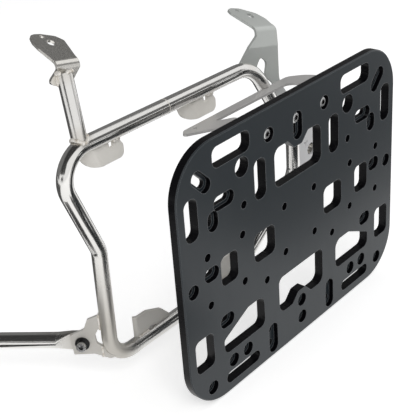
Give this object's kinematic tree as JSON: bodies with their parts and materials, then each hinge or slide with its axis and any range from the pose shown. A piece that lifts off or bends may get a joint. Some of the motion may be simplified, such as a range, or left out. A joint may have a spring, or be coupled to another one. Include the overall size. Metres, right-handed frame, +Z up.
{
  "type": "pannier mounting plate",
  "caption": "Slotted plastic mounting plate for a pannier, bolted by a sheet hoop to a bent steel tube side carrier with brackets, tabs, gusset and cross strut.",
  "frame": {"origin": "centre of the mounting plate's outer face", "axes": "+X along the plate to the motorbike's rear, +Y inboard to the motorbike, +Z up"},
  "size_m": [0.5104, 0.2636, 0.3898],
  "materials": {
    "plate_plastic": "matte",
    "polished_steel": "polished stainless steel",
    "blasted_steel": "bead-blasted stainless steel",
    "zinc_steel": "bright zinc"
  },
  "bodies": {
    "root": {"mounting_plate": "plate_plastic", "hoop_bracket": "polished_steel", "plate_bolt_front": "zinc_steel", "plate_bolt_middle": "zinc_steel", "plate_bolt_rear": "zinc_steel", "plate_washer_front": "zinc_steel", "plate_washer_middle": "zinc_steel", "plate_washer_rear": "zinc_steel", "plate_nut_front": "zinc_steel", "plate_nut_middle": "zinc_steel", "plate_nut_rear": "zinc_steel", "carrier_tube_front": "polished_steel", "carrier_tube_rear": "polished_steel", "front_post": "polished_steel", "front_top_bracket": "polished_steel", "rear_side_bracket": "polished_steel", "rear_boss": "polished_steel", "upper_tab_front": "blasted_steel", "upper_tab_rear": "blasted_steel", "lower_tab_front": "blasted_steel", "lower_tab_rear": "blasted_steel", "corner_gusset": "blasted_steel", "cross_strut": "polished_steel", "strut_screw": "zinc_steel", "strut_washer": "zinc_steel", "strut_nut": "zinc_steel"}
  },
  "joints": []
}
